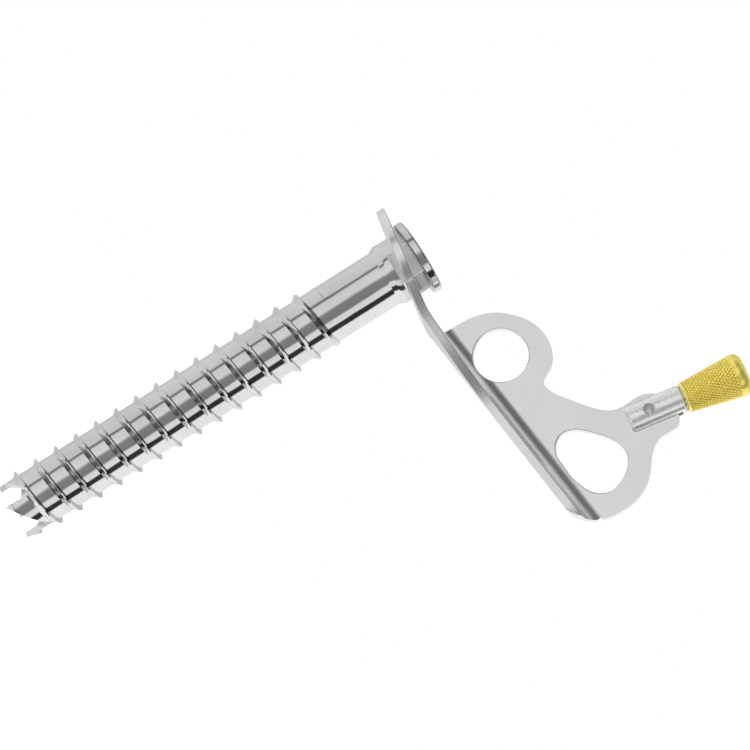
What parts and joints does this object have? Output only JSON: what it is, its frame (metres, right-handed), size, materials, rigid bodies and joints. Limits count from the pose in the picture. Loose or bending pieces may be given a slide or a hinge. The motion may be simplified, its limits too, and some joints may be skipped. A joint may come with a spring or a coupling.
{
  "type": "ice screw",
  "caption": "Toothed, threaded tube with a loose bent hanger on its hexagonal head, two clip eyes, and a knurled crank knob that flips out and spins.",
  "frame": {"origin": "on the tube's axis, at the top of the shoulder the hanger rests on", "axes": "+Z along the tube from its teeth to its head, +X along the hanger's arm, +Y towards the hanger's upright cheek"},
  "size_m": [0.1034, 0.0343, 0.1863],
  "materials": {
    "tube": "bright polished",
    "flange": "bright polished",
    "plate": "satin tumbled",
    "stem": "satin turned",
    "pin": "bright",
    "spring": "bright wire",
    "knob": "gold anodised, diamond knurl"
  },
  "bodies": {
    "tube": {"screw_tube": "tube", "head_flange": "flange"},
    "hanger": {"hanger": "plate"},
    "crank": {"knob_stem": "stem", "pivot_pin": "pin", "detent_spring": "spring", "thrust_washer": "pin", "retaining_washer": "pin", "end_rivet": "stem"},
    "plunger": {"detent_plunger": "pin"},
    "knob": {"crank_knob": "knob"}
  },
  "joints": [
    {"name": "hanger_rock", "type": "hinge", "parent": "tube", "child": "hanger", "pos_m": [0, 0, 0.00325], "axis": [0, -1, 0], "range_deg": [0, 19]},
    {"name": "knob_flip", "type": "hinge", "parent": "hanger", "child": "crank", "pos_m": [0.0683, 0.012, 0.0371], "axis": [0, -1, 0], "range_deg": [0, 122]},
    {"name": "detent_press", "type": "slide", "parent": "crank", "child": "plunger", "axis": [0.1736, 0, 0.9848], "range_m": [0, 0.0005], "stiffness_N_per_m": 2000, "springref_m": -0.0015},
    {"name": "knob_spin", "type": "hinge", "parent": "crank", "child": "knob", "pos_m": [0.0683, 0.012, 0.0371], "axis": [0.1736, 0, 0.9848], "continuous": true}
  ]
}
